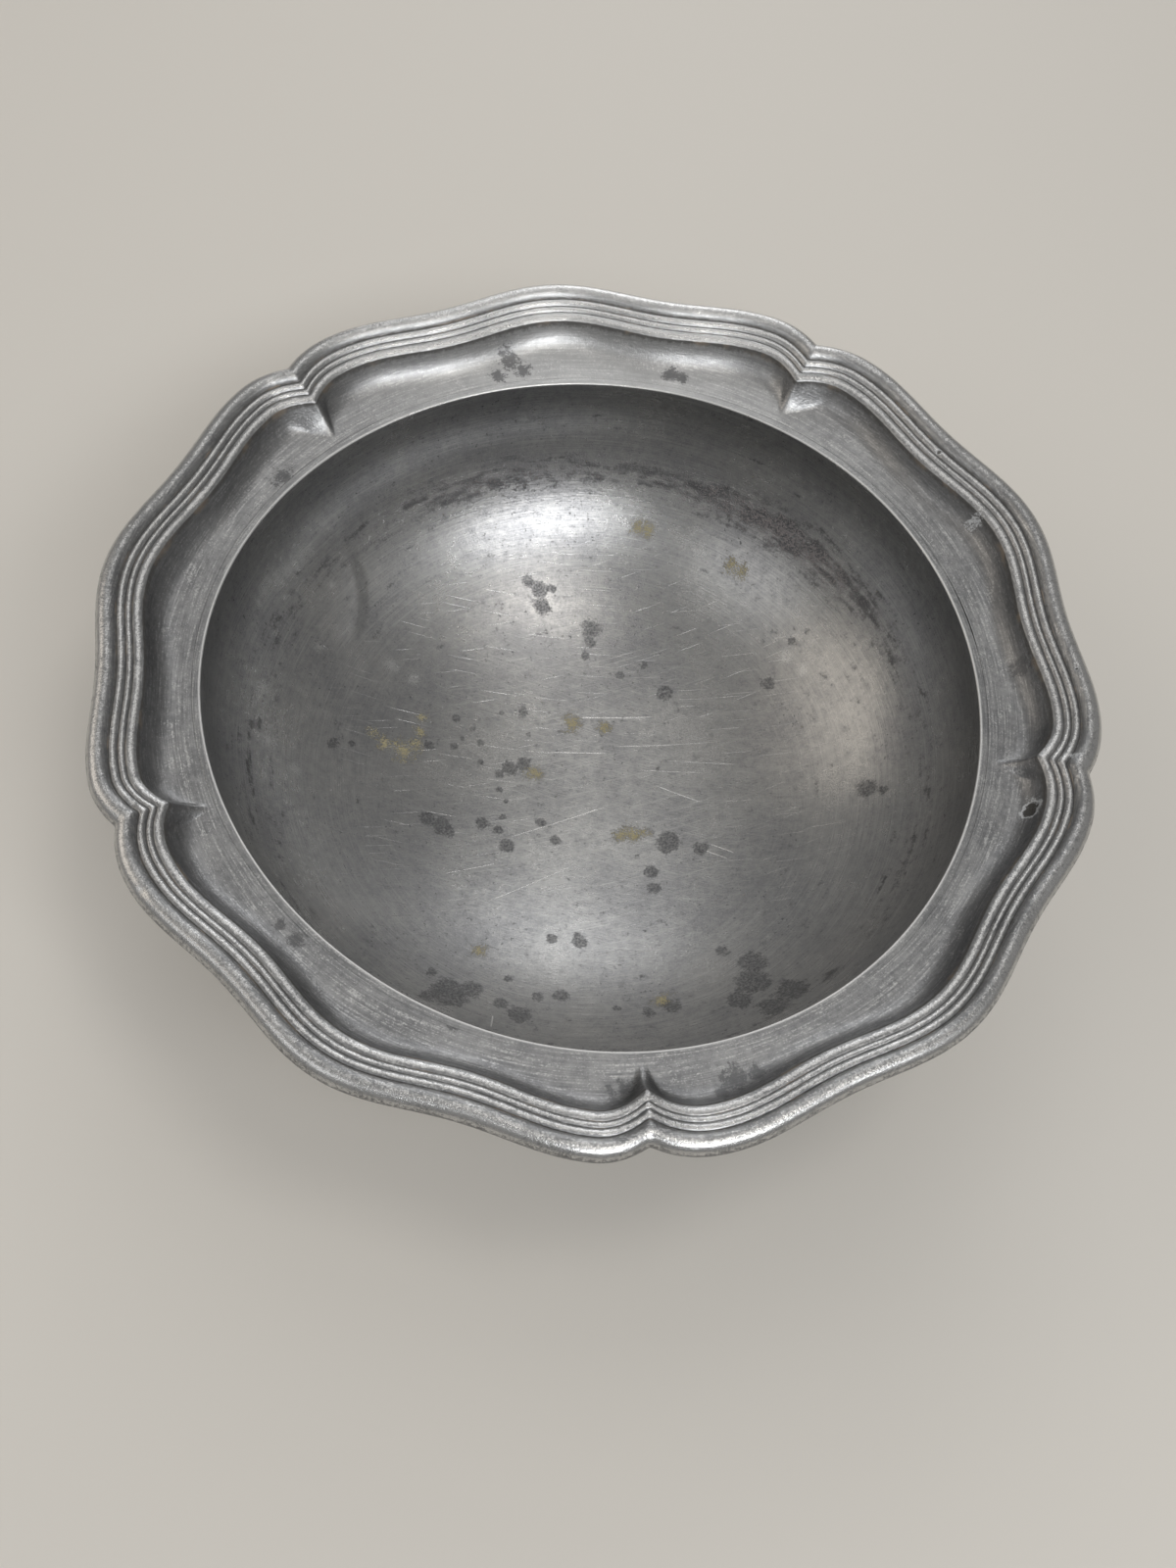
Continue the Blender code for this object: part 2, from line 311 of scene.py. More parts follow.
bowl = dict(
    wall=2.0, lipBand=5.0,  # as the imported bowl
    lipRound=0.35, seamRound=0.03, seam=98.64, crisp=0.08, seamDepth=0.6,  # lip and hairline seam
    columns=420, insideRings=150, outsideRings=60,
    oval=0.73, ovalPeak=-44, threefold=0.9, threefoldPeak=42,  # knocked out of round at the mouth
    sway=0.10, swaySeed=5, swayOrders=(4, 11),  # unevenness of the wall
    # dent knocked in from outside: gentle over its reach on the left, steep over its drop on the right
    dentAt=(-57.6, 54.5), dentRise=0.62, dentReach=17.0, dentDrop=2.0, dentBow=0.022, dentHalf=10.5,
    dentClear=9.0, dentPower=1.5, dentIn=0.75, dentUp=0.65,
    tideDepth=27.5, tideWidth=4.6, tideLeast=0.30,
    tideThick=[(46, 24, 0.70), (105, 22, 0.35)],  # where the tide line is thick: facing, spread, weight
    nearLightFacing=-98, nearLightSpread=58, nearLightFrom=40, nearLightFade=26,  # the side of the wall made less metallic, which paints light onto it
    sheenFacing=88, sheenSpread=42,  # the side where ledge and lip get a painted highlight
    lipHighlightRows=5,  # rows up to the lip that get a painted highlight
    # dark spots: x, y, radius, strength
    spots=[
        (-9.5, 63.5, 2.4, 0.8), (-6.5, 61.2, 2.9, 1.0), (-3.0, 61.5, 1.6, 0.8), (-6, 57, 3.6, 0.7),
        (7.5, 50, 3.6, 0.7), (5, 42.5, 1.6, 0.9), (7, 46, 2.0, 0.6), (14.5, 36, 1.6, 0.9),
        (21.5, 38, 1.4, 0.9), (26.5, 29, 2.7, 1.0), (54.5, 26, 2.6, 0.6), (-14, 27, 2.2, 0.7),
        (-20, 26.5, 1.2, 0.7), (-33, 24.5, 1.5, 1.0), (-28.5, 21.5, 1.1, 0.9), (-26.5, 17.5, 1.5, 0.9),
        (-34, 16, 1.4, 1.0), (-31.5, 18.5, 1.0, 0.9), (-41, 16, 1.8, 0.9), (-13, 20, 0.9, 0.9),
        (-19, 9.5, 3.0, 0.7), (-15, 11, 2.4, 0.9), (-27, 11.5, 1.1, 0.9), (-22, 8, 1.7, 0.8),
        (-67, 12.5, 2.0, 0.7), (-62, 13.5, 1.3, 0.6), (-39.5, -8.5, 3.4, 0.8), (-43, -6.5, 2.6, 0.8),
        (-37.5, -10.5, 2.2, 0.8), (-28, -7.5, 2.6, 0.7), (-24, -9.5, 2.0, 0.8), (-22, -14.5, 2.6, 1.0),
        (-22.5, 3, 1.3, 0.9), (-21, -0.5, 1.0, 0.8), (-22.3, -5.5, 1.3, 0.9), (-12, -7.3, 2.0, 1.0),
        (-8.5, -13.2, 2.0, 1.0), (22, -16.5, 3.9, 1.0), (21, -18.5, 2.6, 1.0), (30, -20.2, 2.5, 0.9),
        (16, -25.5, 2.5, 0.9), (16, -31, 2.4, 0.8), (-13, -45, 2.0, 0.9), (-5.7, -46.5, 2.7, 0.9),
        (-6.3, -44, 1.2, 1.0), (-25.7, -58, 1.7, 0.9), (-19, -64.3, 2.0, 0.9), (-13, -64, 2.6, 0.9),
        (-28.5, -66.5, 2.4, 0.9), (-24.3, -70.5, 3.6, 1.0), (-41.5, -64, 6.0, 1.0),
        (-35.5, -62, 3.6, 1.0), (-47, -66, 2.5, 0.7), (-45, -57, 2.0, 0.6), (0.5, -69.5, 1.4, 0.9),
        (8, -72, 2.2, 0.7), (14, -70.5, 3.2, 0.7), (36.5, -60, 4.4, 1.0), (35, -66.5, 5.2, 1.1),
        (30.5, -72, 3.6, 1.0), (43, -72.5, 4.8, 0.9), (37.5, -77, 4.6, 0.8), (30, -54.5, 2.4, 0.6),
        (74, -13.5, 3.4, 0.7), (77.5, -16, 1.6, 0.8), (62, 36, 1.5, 0.6), (66, 37, 1.2, 0.6)],
    # yellowish crusts: x, y, radius
    crusts=[
        (-56, 18, 1.5), (-53, 15.2, 2.0), (-48, 13.8, 3.0), (-44.5, 16, 1.9), (-43.3, 20, 1.7),
        (-42.3, 24, 1.6), (-12.5, 8.2, 2.2), (-0.5, 22.8, 2.6), (8.5, 21, 1.8), (9.5, -13, 2.0),
        (12.5, -12.8, 2.4), (15.5, -12.5, 1.6), (-32.3, -49, 1.9), (22.5, 74.3, 1.8), (25.5, 73.3, 1.8),
        (48, 60, 1.6), (50.5, 57.5, 1.7), (12, -68, 2.0)],
    # pale scuffs: x, y, radius
    scuffs=[
        (-69.8, 60.4, 1.8), (-72, 58, 1.6), (-74, 55.6, 1.9), (-76.5, 53, 1.6), (-78.8, 50.4, 1.9),
        (-81, 48, 1.5), (-82.5, 45.2, 1.7), (-83.9, 42, 1.5), (-80.3, 37.8, 1.6), (-65, 55, 1.7),
        (-69.4, 38.5, 2.0), (-50, 38, 3.0), (-44, 35, 2.6), (-84, 22, 2.4), (-83, 8, 2.4), (-77, 2, 2.4),
        (60, 32, 3.0), (64, 27, 2.4)],
    # long scratches: start, end and half width
    scores=[
        ((0.5, 24.6), (24, 22.4), 0.21), ((10, 15), (40, 12), 0.16), ((20, 2), (33, -6), 0.17),
        ((16, 7), (36, 3), 0.13), ((30.5, -20.5), (37, -25), 0.18), ((32.5, -19), (39, -23.5), 0.16),
        ((-40, -24), (-25, -20), 0.16), ((-8, 14.5), (9, 13), 0.16), ((-31, -71), (-32, -76), 0.26),
        ((-4, -21), (-30, -33), 0.14), ((8, -3), (-22, -12), 0.14), ((24, 9), (44, 4), 0.13)],
)


def liftShare(height):
    # how far up the bowl a point lies, by a square law: 0 at its underside, 1 at the lip
    return np.clip((height - bowlFoot) / (lipHeight - bowlFoot), 0, 1) ** 2


def outOfRound(angle, oval):
    # how far the mouth is pushed out: a two-fold wave (the oval) and a three-fold wave
    wave = bowl["threefold"] * np.cos(3 * (angle - math.radians(bowl["threefoldPeak"])))
    return wave + oval * bowl["oval"] * np.cos(2 * (angle - math.radians(bowl["ovalPeak"])))


def knocked(angle, radius, height):
    # sideways push of a point: the mouth's wave times the lift, and in step with the radius
    return outOfRound(angle, 1.0) * liftShare(height) * radius / lipRadius


def paintedSheenSide(angle):
    # how strongly ledge and lip get a painted highlight: a bell round one direction
    return facingBell(angle, bowl["sheenFacing"], bowl["sheenSpread"])


def bowlOutline():
    # quarter ellipse up the inside, straight band, rounded lip and hairline edge, then band and quarter
    # ellipse down the outside
    b = bowl
    mouth = lipRadius - b["wall"]
    seam, seamRound, lipRound = b["seam"], b["seamRound"], b["lipRound"]
    level = lipHeight - b["lipBand"]
    depth = level - bowlFoot - b["wall"]
    inside = arc((0, level), (mouth, depth), -90, 0, b["insideRings"])
    lip = arc((mouth + lipRound, lipHeight - lipRound), (lipRound, lipRound), 180, 90, 6)
    corner = arc((seam - seamRound, lipHeight - seamRound), (seamRound, seamRound), 90, 0, 4)
    outside = arc((0, level), (lipRadius, depth + b["wall"]), 0, -90, b["outsideRings"])
    band = line((mouth, level), (mouth, lipHeight - lipRound), 7)
    flatEnd = (seam - b["crisp"], lipHeight)
    top = joinRuns(line(lip[-1], flatEnd, 5), line(flatEnd, corner[0], 2))
    back = line((lipRadius, lipHeight - b["seamDepth"]), (lipRadius, level), 4)
    lipStart = len(inside) + len(band) + len(lip) - 3  # row of the lip's flat, less pole and shared points
    lipEnd = lipStart + len(top) + len(corner)
    return joinRuns(inside, band, lip, top, corner, back, outside)[1:-1], lipStart, lipEnd


def dentPush(x, y, height):
    # depth of the dent: a power of the share of its slope, times a flat-topped bell along its steep edge,
    # faded out towards the lip
    b = bowl
    aside = y - b["dentAt"][1]
    past = x - b["dentAt"][0] + b["dentBow"] * aside**2
    slope = np.where(past < 0, 1 + past / b["dentReach"], 1 - past / b["dentDrop"])
    calm = np.clip((lipHeight - height - b["dentClear"]) / b["dentClear"], 0, 1)
    sides = np.exp(-((aside / b["dentHalf"]) ** 4))
    return b["dentRise"] * np.clip(slope, 0, 1) ** b["dentPower"] * sides * calm


def tideLine(angle, height):
    # strength of the tide line: a bell over the depth, times bells round the dish where it is thick
    thick = [weight * facingBell(angle, facing, spread) for facing, spread, weight in bowl["tideThick"]]
    return bell(lipHeight - height - bowl["tideDepth"], bowl["tideWidth"]) * (bowl["tideLeast"] + sum(thick))


def makeBowl(finish):
    # the outline turned about Z, then pushed out of round, dented on one side and left slightly uneven
    b = bowl
    outline, lipStart, lipEnd = bowlOutline()
    angle = np.linspace(0, 2 * np.pi, b["columns"], endpoint=False)[None, :]
    radius, height = outline[:, :1], outline[:, 1:]
    wander = ripple(angle, b["swaySeed"], *b["swayOrders"])
    sway = b["sway"] * wander * (1 - liftShare(height)) * radius / lipRadius
    radius = radius + knocked(angle, radius, height) + sway
    height = np.broadcast_to(height, radius.shape)
    x, y = radius * np.cos(angle), radius * np.sin(angle)
    push = dentPush(x, y, height)
    radius = radius - push * b["dentIn"]
    height = height + push * b["dentUp"]
    row = np.arange(len(outline))[:, None]
    inner = row < lipStart
    inside = np.where(inner, 1.0, 0.0)
    # the near side of the wall is made less metallic, which paints light onto it
    nearLightFilm = facingBell(angle, b["nearLightFacing"], b["nearLightSpread"])
    fields = {
        "spots": np.where(inner, coneField(x, y, b["spots"]), -1.0),
        "crusts": np.where(inner, coneField(x, y, [(*mark, 1.0) for mark in b["crusts"]]), -1.0),
        "scuffs": np.where(inner, coneField(x, y, [(*mark, 1.0) for mark in b["scuffs"]]), -1.0),
        "tide": tideLine(angle, height) * inside,
        "nearLightFilm": nearLightFilm * np.clip((radius - b["nearLightFrom"]) / b["nearLightFade"], 0, 1) * inside,
        "inside": inside,
        "paintedSheen": paintedSheenSide(angle),
        "lipHighlight": np.where(inner & (row >= lipStart - b["lipHighlightRows"]), 1.0, 0.0),
        "lip": np.where((row >= lipStart) & (row < lipEnd), 1.0, 0.0)}
    return placePiece("turnedBowl", radius, angle, height, False, finish, "bowl", fields)


rubbedPewter = dict(
    anisotropy=0.20, roughness=0.29, metal=0.93, nearLightFilm=0.56,  # the last: how much less metallic the near wall is made, which paints light onto it
    colour=(0.405, 0.402, 0.394, 1), shade=(0.262, 0.264, 0.270, 1), bare=(0.600, 0.600, 0.592, 1),
    spot=(0.092, 0.093, 0.097, 1), crust=(0.420, 0.362, 0.190, 1), deposit=(0.310, 0.276, 0.272, 1),
    score=(0.780, 0.780, 0.770, 1),
    # noises: size of a lump, detail, roughness
    cloud=(28, 4), mottle=(2.4, 6, 0.65), speck=(0.6, 4, 0.65), fleck=(0.38, 3, 0.7), dots=(1.0, 2),
    turning=(0.34, 6), smear=(1.9, 11),  # streaks round the axis: width, sweep
    wiping=[(14, 12.0, 0.30), (-9, 16.0, 0.36), (27, 9.0, 0.26)],  # heading, length, width
    wallFrom=(24, 40),  # heights between which wiping marks give way to turning lines
    # fine scratches: heading, length, spacing, half width, share drawn; then the heights between which
    # they end, and their strength
    marks=[(8, 13, 2.6, 0.08, 0.5), (-10, 10, 3.0, 0.07, 0.45)],
    marksTo=(46, 30), marksShow=0.64,
    # levels between which each kind of mark sets in, and how strongly it shows
    spotCut=(0.72, 1.10), crustCut=(4.62, 5.00), sootCut=(2.62, 3.30), depositCut=(3.15, 3.75),
    scuffCut=(3.35, 3.75), dotCut=(0.64, 0.72), dotClouds=(0.42, 0.6), darkCut=(0.40, 1.00),
    brightCut=(0.80, 1.14), brightShow=0.65,
    spotEdge=((0.74, 0.84), (1.08, 0.90)), crustFringe=((4.20, 4.45), (4.85, 4.62)),  # rings round marks
    scoreShow=0.85, scuffShow=0.55, sootShow=0.86, depositShow=0.55, fringeShow=0.30, crustShow=0.78,
    lipHighlightShow=0.7,
)


def rubbedFinish():
    # grey pewter rubbed bright and gone dull again: clouds, wiping marks on the bottom, turning lines on the
    # wall, scratches, soft dark spots with darker edges, dry crusts, a broken tide line of deposits, a
    # painted highlight on the lip's inner edge, and a near wall made less metallic, which paints light onto
    # it
    p = rubbedPewter
    finish, tree = newFinish("rubbedPewter")
    where = inMillimetres(tree)
    level = put(tree, "ShaderNodeSeparateXYZ", {0: where}).outputs[2]
    cloud, mottle, speck, fleck, dots = (
        grain(tree, where, *p[name]) for name in ("cloud", "mottle", "speck", "fleck", "dots"))
    inside = field(tree, "inside")

    wiped = 0.0
    for mark in p["wiping"]:
        wiped = calc(tree, "MAXIMUM", brushed(tree, where, *mark), wiped)
    wiped = calc(tree, "SUBTRACT", wiped, 0.08)  # brings both kinds of line to one mean
    turned = calc(tree, "MULTIPLY_ADD", turningLines(tree, where, *p["turning"]), 0.55, 0.22)
    lines = mixed(tree, ramp(tree, level, *p["wallFrom"]), wiped, turned)
    scratch = 0.0
    for mark in p["marks"]:
        scratch = calc(tree, "MAXIMUM", scratches(tree, where, *mark), scratch)
    scratch = calc(tree, "MULTIPLY", scratch, ramp(tree, level, *p["marksTo"], 0, p["marksShow"]))
    for start, end, width in bowl["scores"]:
        scratch = calc(tree, "MAXIMUM", scoreLine(tree, where, start, end, width), scratch)
    scratch = calc(tree, "MULTIPLY", scratch, inside)

    spotted = ragged(tree, "spots", (mottle, 0.9), (speck, 0.4))
    edge = between(tree, spotted, *p["spotEdge"])
    pepper = calc(tree, "MULTIPLY", ramp(tree, dots, *p["dotCut"]), ramp(tree, cloud, *p["dotClouds"]))
    pepper = calc(tree, "MULTIPLY", pepper, inside)
    spot = calc(tree, "MAXIMUM", ramp(tree, spotted, *p["spotCut"]), pepper)
    patchy = calc(tree, "MULTIPLY", spot, calc(tree, "MULTIPLY_ADD", speck, 1.5, -0.28))
    crusty = ragged(tree, "crusts", (mottle, 2.8), (fleck, 6.0))
    crust = ramp(tree, crusty, *p["crustCut"])
    fringe = between(tree, crusty, *p["crustFringe"])
    smear = turningLines(tree, where, *p["smear"])
    soot = ramp(tree, ragged(tree, "tide", (smear, 2.2), (mottle, 1.6), (speck, 0.8)), *p["sootCut"])
    deposit = ramp(tree, ragged(tree, "tide", (mottle, 1.4), (speck, 3.6)), *p["depositCut"])
    scuff = ramp(tree, ragged(tree, "scuffs", (mottle, 2.0), (fleck, 4.0)), *p["scuffCut"])

    dark = addUp(tree, (cloud, 0.9), (mottle, 0.70), (speck, 0.60), (lines, -0.8))
    colour = tint(tree, ramp(tree, dark, *p["darkCut"]), p["colour"], p["shade"])
    bright = ramp(tree, addUp(tree, (lines, 1.0), (speck, 0.6)), *p["brightCut"], 0, p["brightShow"])
    colour = tint(tree, bright, colour, p["bare"])
    colour = layOver(tree, colour, p["score"], scratch, p["scoreShow"])
    colour = layOver(tree, colour, p["bare"], scuff, p["scuffShow"])
    colour = layOver(tree, colour, p["spot"], soot, p["sootShow"])
    colour = layOver(tree, colour, p["deposit"], deposit, p["depositShow"])
    colour = tint(tree, addUp(tree, (patchy, 1.35), (edge, 0.18)), colour, p["spot"])
    colour = layOver(tree, colour, p["spot"], fringe, p["fringeShow"])
    colour = layOver(tree, colour, p["crust"], crust, p["crustShow"])
    # painted highlight: the lip's inner edge laid over with the pale scratch colour
    colour = layOver(tree, colour, p["score"], field(tree, "lipHighlight"), p["lipHighlightShow"])
    roughness = addUp(
        tree, (cloud, 0.10), (lines, 0.10), (mottle, 0.08), (spot, 0.12), (crust, 0.3), (deposit, 0.3),
        (soot, 0.08), (scratch, -0.12))
    roughness = calc(tree, "ADD", roughness, p["roughness"] - 0.14)  # less the noises' own mean
    # crusts and deposits are dull; the near wall is made less metallic too, which paints light onto it
    dullAndPaintedLight = addUp(tree, (crust, 0.6), (deposit, 0.5), (field(tree, "nearLightFilm"), p["nearLightFilm"]))
    metal = calc(tree, "SUBTRACT", p["metal"], dullAndPaintedLight)
    relief = addUp(
        tree, (lines, 0.045), (speck, 0.035), (mottle, 0.02), (scratch, -0.03), (spot, -0.02), (crust, 0.05),
        (deposit, 0.04))
    lip = field(tree, "lip")
    ledgeColour, ledgeRoughness, ledgeRelief = ledgePatina(tree, where)
    colour = tint(tree, lip, colour, ledgeColour)
    roughness = mixed(tree, lip, roughness, ledgeRoughness)
    relief = mixed(tree, lip, relief, ledgeRelief)
    pewterShader(tree, p, colour, roughness, metal, relief)
    return finish


# Border

border = dict(
    notchFacing=-90, lobes=5, columns=800, crowding=0.55,
    bore=98.66, wall=1.8, collarWall=2.0, collarGap=0.14, collarRound=0.3, collarTop=2.2,
    seamRound=0.03, seamDepth=0.8, seamOpen=0.22, seamFacing=8, seamSpread=6, seamFade=1.5,  # open at a side
    coveRise=6.4, ledgeShare=0.12, coveWidth=9.0, covePower=3.4,
    reeds=[(2.6, 0.38, 11), (1.7, 0.44, 9), (2.2, 0.58, 11)],  # width, rise and rows of each, outwards
    reedCrown=0.6, bandTilt=1.6, grooveShare=1.5, beadGroove=8,
    beadRadius=2.75, beadSink=1.0, beadUndercut=45, beadRows=20, edgeRound=0.18, edgeTurn=150,
    lobeDip=3.8, notchDepth=3.0, notchDeepening=0.5, shoulderArc=11.7, notchSoft=0.35,
    notchArm=112.0, leanSpread=12.0,  # notches are measured along this radius, and lean within this distance
    creaseTip=0.3, flankPower=1.6,
    slack=0.30, shift=0.45, shiftTowards=69, outerRound=0.72,  # it sits a little to one side of the bowl
    waver=0.10, waverSink=1.8, waverSeed=8, waverOrders=(2, 9),  # unevenness of its height
    panelRows=36, panelCrowding=1.4, underRows=10, underFrom=0.96, underTo=0.26, crisp=0.006,
    # one row a notch, anticlockwise from the front: where its point lies along the border at the outer edge,
    # at the panel and at the crease's tip, its depth, then the crease's softness, its reach before and
    # after, its end on the panel and how fast it falls
    notchColumns=("edge", "panel", "tip", "depth", "soft", "before", "after", "dies", "fall"),
    notches=[
        (-2.2, -1.5, -0.9, 1.15, 0.30, 4.0, 4.0, 0.02, 2.3),
        (-0.9, 1.7, 1.8, 0.85, 0.40, 5.0, 1.0, 0.06, 2.4),
        (0.8, 0.3, 0.1, 1.05, 0.25, 11.0, 4.0, 0.24, 1.9),
        (1.4, 2.1, 3.2, 0.95, 0.25, 4.0, 11.5, 0.14, 1.9),
        (-1.6, -3.6, -2.6, 1.00, 0.80, 3.4, 4.8, 0.06, 1.9)],
    # small nicks: x, y, radius, depth
    nicks=[
        (-111.8, -30.9, 0.9, 0.45), (-109.6, -54.0, 1.0, 0.35), (97.6, 61.0, 0.8, 0.35),
        (118.5, -9.5, 0.6, 0.2)],
    # dark stains on the ledge, pits with a pale edge, and chalky specks: x, y, radius, strength
    stains=[
        (-13, 104.5, 3.5, 0.8), (-9.5, 101, 3.0, 0.7), (-16.5, 99.5, 2.6, 0.6), (31, 97.5, 2.8, 0.9),
        (34, 96, 2.0, 0.8), (-5.5, -105.5, 3.0, 0.6), (-8.5, -106.0, 2.2, 0.5), (19.5, -105.8, 4.0, 0.8),
        (24, -104.5, 2.6, 0.7), (16, -109, 2.2, 0.7), (-76, -64, 2.6, 0.8), (-80, -60, 2.0, 0.6),
        (-42, -88, 1.5, 0.7), (-75, 68, 3.6, 0.5), (107, -4, 2.8, 0.5)],
    pits=[
        (100.2, -44.9, 1.8, 1.0), (101.2, -43.6, 1.6, 0.9), (97.7, 61.0, 0.9, 1.0),
        (118.5, -9.5, 0.6, 1.0)],
    chalk=[
        (104.0, 40.5, 3.0, 1.0), (112.5, -33.5, 1.6, 1.0), (101.5, -41.5, 2.0, 0.7),
        (-113, 47.5, 0.8, 1.0)],
    pitDepth=0.35, pitFrom=0.1, pitFloor=0.5,
    dirtFrom=0.9, beadShadeLeast=0.9,  # where dirt begins on the panel, and the lowest share on the bead's outer side, which brings painted shade there
)


def nearestNotch(angle):
    # signed distance along the border from the nearest notch's regular place, and that notch's values
    start, step = math.radians(border["notchFacing"]), 2 * math.pi / border["lobes"]
    along = (angle - start) / step
    whole = np.rint(along)
    which = whole.astype(int) % border["lobes"]
    columns = zip(border["notchColumns"], zip(*border["notches"]))
    values = {name: np.array(column)[which] for name, column in columns}
    return (along - whole) * step * border["notchArm"], values


def leaning(along, place):
    # distance from a notch's own point, off its regular place: a bell fades the move out away from the notch
    return along - place * bell(along, border["leanSpread"])


def bandWidth():
    # three reeds and the bead, whose circle is sunk a little into the band
    radius, sink = border["beadRadius"], border["beadSink"]
    return sum(reed[0] for reed in border["reeds"]) + radius + math.sqrt(radius**2 - sink**2)


def edgeLine(along, values, inset):
    # a line that follows the outer edge: a cosine dip to the shoulders, then a square-law fall into the
    # notch, which gets deeper inwards
    b = border
    half = math.pi / b["lobes"] * b["notchArm"]
    inwards = np.clip(inset / bandWidth(), 0, 1)
    swing = half - np.abs(along)
    dip = b["lobeDip"] * (1 - np.cos(2 * np.pi * swing / (half - b["shoulderArc"]))) / 2
    dip = np.where(swing < half - b["shoulderArc"], dip, 0)
    away = leaning(along, values["edge"] + (values["panel"] - values["edge"]) * inwards)
    near = 1 - (np.hypot(away, b["notchSoft"]) - b["notchSoft"]) / b["shoulderArc"]
    depth = b["notchDepth"] * values["depth"] * (1 + b["notchDeepening"] * inwards)
    return crestRadius - b["slack"] - dip - depth * np.clip(near, 0, 1) ** 2 - inset


def bandOutline():
    # columns: inset from the edge, height, groove, crest; reeds are crowned waves on a rising line, the bead
    # is a circle with a crisp lower edge
    b = border
    inset, reedBand = bandWidth(), sum(reed[0] for reed in b["reeds"])
    runs = []
    for width, rise, rows in b["reeds"]:
        share = (1 - np.cos(np.pi * np.linspace(0, 1, rows)[:-1])) / 2
        crown = np.sin(np.pi * share) ** b["reedCrown"]
        climb = b["bandTilt"] * (bandWidth() - inset + width * share) / reedBand
        groove = np.clip(1 - b["grooveShare"] * crown, 0, 1)
        height = b["coveRise"] + climb + rise * crown
        runs.append(np.stack([inset - width * share, height, groove, crown**4], 1))
        inset -= width
    first = 180 - math.degrees(math.asin(b["beadSink"] / b["beadRadius"]))
    centre = (-b["beadRadius"], b["coveRise"] + b["bandTilt"] - b["beadSink"])
    bead = arc(centre, (b["beadRadius"],) * 2, first, -b["beadUndercut"], b["beadRows"])
    share = np.linspace(0, 1, b["beadRows"])
    groove = np.clip(1 - b["beadGroove"] * share, 0, 1)
    runs.append(np.stack([-bead[:, 0], bead[:, 1], groove, np.sin(np.pi * share) ** 2], 1))
    turn = np.radians(np.linspace(0, b["edgeTurn"], 5))[1:]
    under = np.stack([b["edgeRound"] * (1 - np.cos(turn)), -b["edgeRound"] * np.sin(turn)], 1)
    runs.append(np.pad(under + (-bead[-1, 0], bead[-1, 1]), ((0, 0), (0, 2))))
    return np.concatenate(runs)


def ledgeHeight(share):
    # the ledge's gentle slope
    return border["coveRise"] * border["ledgeShare"] * share


def coveHeight(share, width):
    # a gentle ledge that curls up to the reeds by a power of the closeness to them
    b = border
    toReeds = np.clip(1 - width * (1 - share) / b["coveWidth"], 0, 1)
    return ledgeHeight(share) + (b["coveRise"] - ledgeHeight(share)) * toReeds ** b["covePower"]


def panelHeight(share, width, along, values):
    # the cove, lifted at a notch to a crease that falls away inwards by a power, with flanks that get
    # narrower on the way
    b = border
    cove = coveHeight(share, width)
    away = leaning(along, values["tip"] + (values["panel"] - values["tip"]) * share)
    run = np.clip((share - values["dies"]) / (1 - values["dies"]), 0, 1)
    reach = b["creaseTip"] + np.where(away < 0, values["before"], values["after"]) * run
    off = np.hypot(away, values["soft"]) - values["soft"]
    flank = np.clip(1 - (off / reach) ** 2, 0, 1) ** b["flankPower"]
    crease = ledgeHeight(share) + (b["coveRise"] - ledgeHeight(share)) * run ** values["fall"]
    return cove + np.maximum(crease - cove, 0) * flank


def underHeights(share, width):
    # the cove's underside: its points moved by the wall's thickness along their normals, radius first
    step = 0.01
    climb = coveHeight(share + step, width) - coveHeight(share - step, width)
    lean = np.arctan(climb / (2 * step * width))
    radius = border["bore"] + width * share + border["wall"] * np.sin(lean)
    return radius, coveHeight(share, width) - border["wall"] * np.cos(lean)


def collarOutline():
    # the collar below the ledge: outer wall, rounded lower corner, lower end and bore, back up to the seam
    b = border
    low = collarFoot - lipHeight
    outer, bore, corner = b["bore"] + b["collarWall"], b["bore"] + b["collarGap"], b["collarRound"]
    return joinRuns(
        line((outer, -b["collarTop"]), (outer, low + corner), 4),
        arc((outer - corner, low + corner), (corner, corner), 0, -90, 4),
        line((outer - corner, low), (bore, low), 3),
        line((bore, low), (bore, -b["seamDepth"]), 4),
        arc((b["bore"] + b["seamRound"], -b["seamRound"]), (b["seamRound"],) * 2, 180, 100, 3))


def borderAngles():
    # directions of the columns: even steps along each lobe, crowded towards the notches by a sine
    b = border
    even = np.linspace(0, b["lobes"], b["columns"], endpoint=False)
    part = even % 1 * 2 - 1
    crowded = part + b["crowding"] * (np.sin(np.pi / 2 * part) - part)
    turn = (np.floor(even) * 2 + 1 + crowded)[None, :] * math.pi / b["lobes"]
    return math.radians(b["notchFacing"]) + turn


